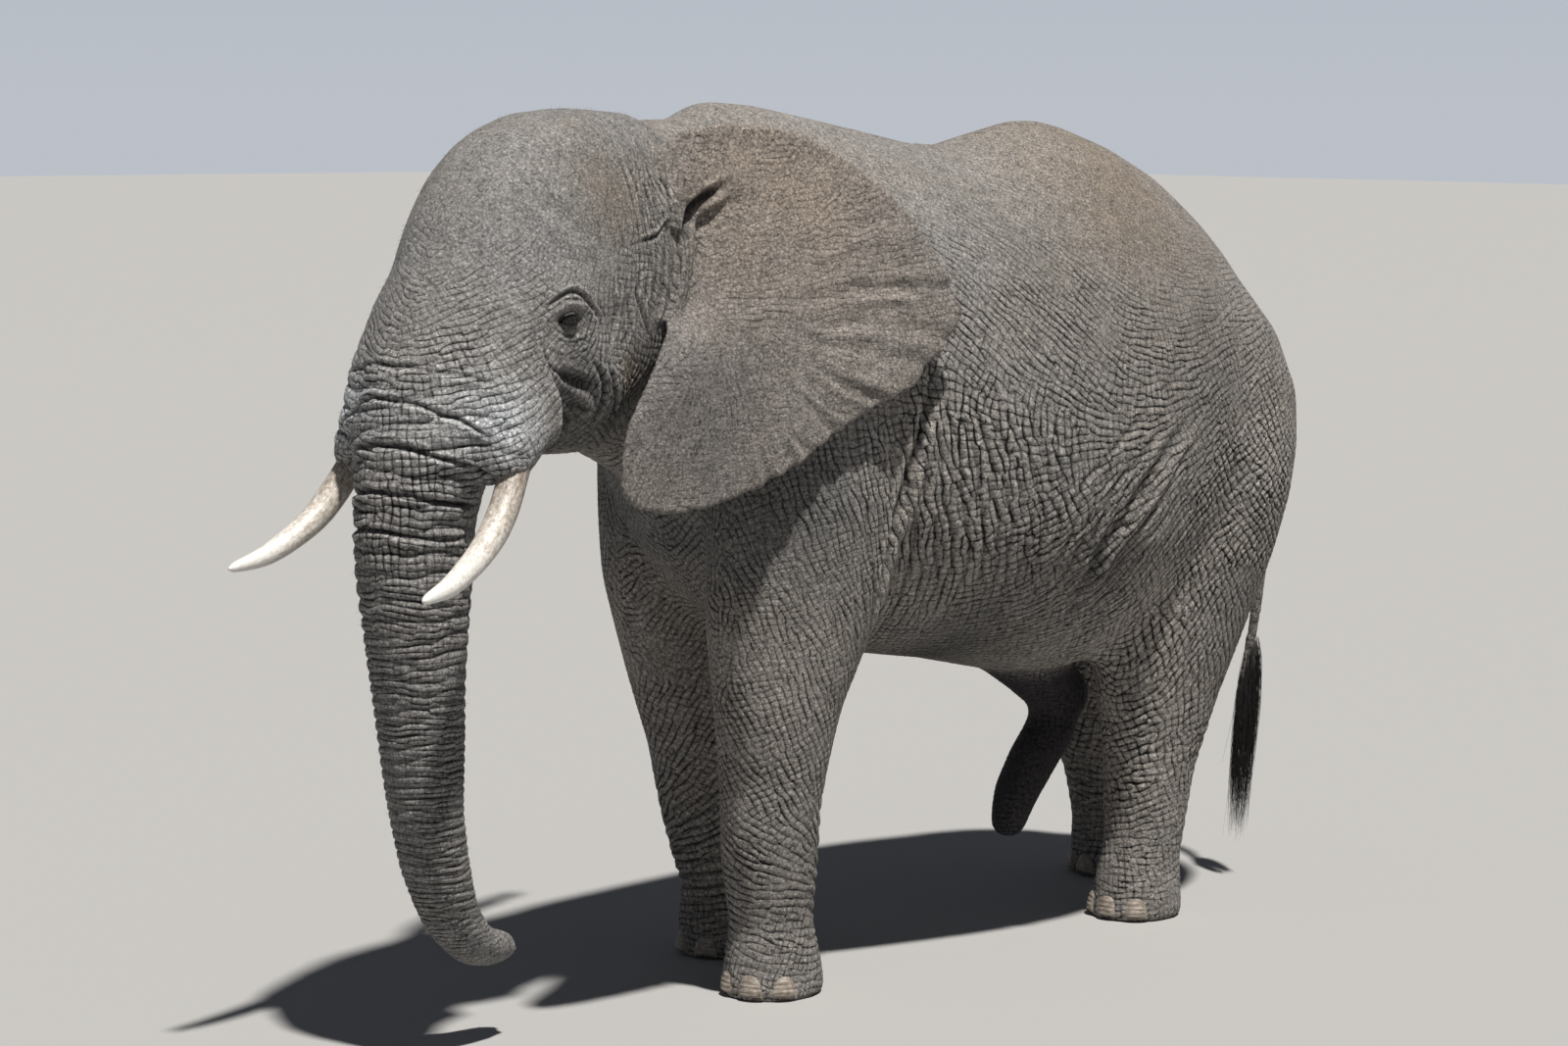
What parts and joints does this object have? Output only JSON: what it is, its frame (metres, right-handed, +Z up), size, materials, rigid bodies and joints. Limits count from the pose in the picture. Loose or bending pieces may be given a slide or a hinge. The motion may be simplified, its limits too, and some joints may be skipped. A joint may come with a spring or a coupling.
{
  "type": "elephant",
  "caption": "Life-size still model of a standing bull African bush elephant: head turned a little left, trunk hanging, ears folded back, tusks, toenails and tufted tail.",
  "frame": {"origin": "middle of the base of the box round the whole animal, on the floor under its belly", "axes": "+X towards the animal's left side, -Y the way its body faces, +Z up"},
  "size_m": [1.5564, 5.1382, 3.1933],
  "materials": {
    "skin": "dry, deeply wrinkled grey-brown hide",
    "ear_skin": "dry, thin, finely creased hide, a little browner",
    "bare_skin": "dark, smooth, slightly moist skin",
    "ivory": "satin ivory, stained and finely cracked near the root",
    "nail": "dull worn horn",
    "eye": "wet brown eye",
    "tail_hair": "coarse black hair"
  },
  "bodies": {
    "root": {"torso": "skin", "neck": "skin", "head": "skin", "trunk_root": "skin", "trunk_upper": "skin", "trunk_middle": "skin", "trunk_tip": "skin", "lower_jaw": "skin", "foreleg_left": "skin", "foreleg_right": "skin", "forefoot_left": "skin", "forefoot_right": "skin", "hindleg_left": "skin", "hindleg_right": "skin", "hindfoot_left": "skin", "hindfoot_right": "skin", "tail": "skin", "sheath": "skin", "ear_left": "ear_skin", "ear_right": "ear_skin", "eye_left": "eye", "eye_right": "eye", "tusk_left": "ivory", "tusk_right": "ivory", "lowered_organ": "bare_skin", "tail_tuft": "tail_hair", "nail_fore_left_1": "nail", "nail_fore_left_2": "nail", "nail_fore_left_3": "nail", "nail_fore_left_4": "nail", "nail_fore_right_1": "nail", "nail_fore_right_2": "nail", "nail_fore_right_3": "nail", "nail_fore_right_4": "nail", "nail_hind_left_1": "nail", "nail_hind_left_2": "nail", "nail_hind_left_3": "nail", "nail_hind_right_1": "nail", "nail_hind_right_2": "nail", "nail_hind_right_3": "nail"}
  },
  "joints": []
}
